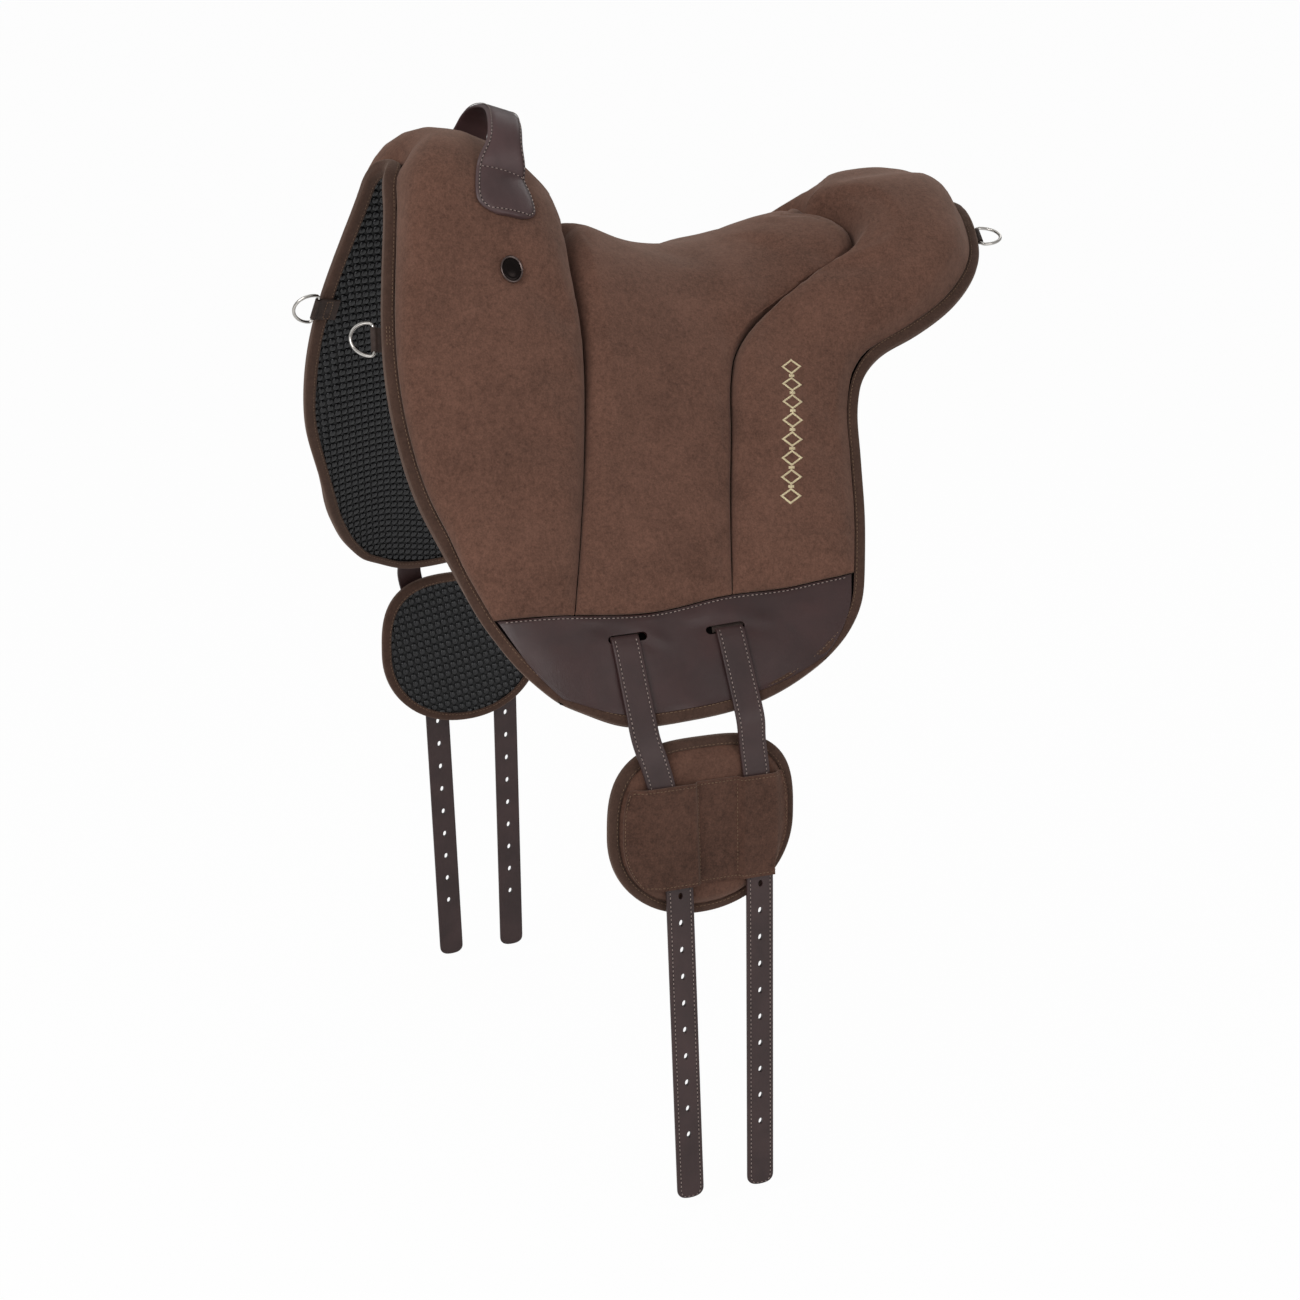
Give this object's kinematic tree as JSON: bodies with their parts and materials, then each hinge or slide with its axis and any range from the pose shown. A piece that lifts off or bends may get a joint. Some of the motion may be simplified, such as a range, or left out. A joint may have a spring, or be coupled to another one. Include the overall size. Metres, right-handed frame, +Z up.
{
  "type": "bareback pad",
  "caption": "Padded saddle-shaped bareback pad for a horse, with a grab handle, D-rings, girth billets in leather flap panels and sliding girth guards.",
  "frame": {"origin": "on the underside of the pad, at the lowest point of its spine line", "axes": "+X towards the horse's near (left) side, -Y towards its head, +Y towards its tail, +Z up"},
  "size_m": [0.646, 0.6584, 0.9451],
  "materials": {
    "suede": "napped brown microsuede",
    "binding": "folded dark brown suede tape",
    "leather": "smooth dark brown leather, satin",
    "grip_rubber": "black, raised grip bumps",
    "foam": "felted foam sheet, hidden",
    "webbing": "woven strap, hidden",
    "nickel": "bright nickel plate",
    "badge_metal": "dark polished metal"
  },
  "bodies": {
    "pad": {"front_panel": "suede", "seat_panel": "suede", "cantle_panel": "suede", "edge_binding": "binding", "grip_lining": "grip_rubber", "foam_core": "foam", "webbing_front": "webbing", "webbing_rear": "webbing", "grab_handle": "leather", "badge_plate": "badge_metal", "leather_panel_near": "leather", "ring_tab_front_near": "binding", "ring_tab_rear_near": "binding", "leather_panel_off": "leather", "ring_tab_front_off": "binding", "ring_tab_rear_off": "binding"},
    "ring_front_near": {"d_ring_front_near": "nickel"},
    "ring_rear_near": {"d_ring_rear_near": "nickel"},
    "ring_front_off": {"d_ring_front_off": "nickel"},
    "ring_rear_off": {"d_ring_rear_off": "nickel"},
    "near_billets": {"billet_front_near": "leather", "billet_rear_near": "leather"},
    "near_guard": {"guard_pad_near": "suede", "guard_lining_near": "grip_rubber", "guard_binding_near": "binding", "guard_sleeve_near": "suede"},
    "off_billets": {"billet_front_off": "leather", "billet_rear_off": "leather"},
    "off_guard": {"guard_pad_off": "suede", "guard_lining_off": "grip_rubber", "guard_binding_off": "binding", "guard_sleeve_off": "suede"}
  },
  "joints": [
    {"name": "ring_front_near_swing", "type": "hinge", "parent": "pad", "child": "ring_front_near", "pos_m": [0.08419, -0.29826, -0.02134], "axis": [0.4573, -0.1379, -0.8785], "range_deg": [-85, 85]},
    {"name": "ring_rear_near_swing", "type": "hinge", "parent": "pad", "child": "ring_rear_near", "pos_m": [0.05623, 0.31585, 0.02817], "axis": [-0.8916, 0.2724, 0.3617], "range_deg": [-85, 85]},
    {"name": "ring_front_off_swing", "type": "hinge", "parent": "pad", "child": "ring_front_off", "pos_m": [-0.08419, -0.29826, -0.02134], "axis": [-0.4573, -0.1379, -0.8785], "range_deg": [-85, 85]},
    {"name": "ring_rear_off_swing", "type": "hinge", "parent": "pad", "child": "ring_rear_off", "pos_m": [-0.05623, 0.31585, 0.02817], "axis": [0.8916, 0.2724, 0.3617], "range_deg": [-85, 85]},
    {"name": "near_billets_swing", "type": "hinge", "parent": "pad", "child": "near_billets", "pos_m": [0.26522, -0.09038, -0.26229], "axis": [-0.1167, -0.9932, -0.0035], "range_deg": [0, 90]},
    {"name": "near_guard_slide", "type": "slide", "parent": "near_billets", "child": "near_guard", "axis": [0, 0.0268, -0.9996], "range_m": [-0.005, 0.2]},
    {"name": "off_billets_swing", "type": "hinge", "parent": "pad", "child": "off_billets", "pos_m": [-0.26522, -0.09038, -0.26229], "axis": [-0.1167, 0.9932, 0.0035], "range_deg": [0, 90]},
    {"name": "off_guard_slide", "type": "slide", "parent": "off_billets", "child": "off_guard", "axis": [0, 0.0268, -0.9996], "range_m": [-0.005, 0.2]}
  ]
}
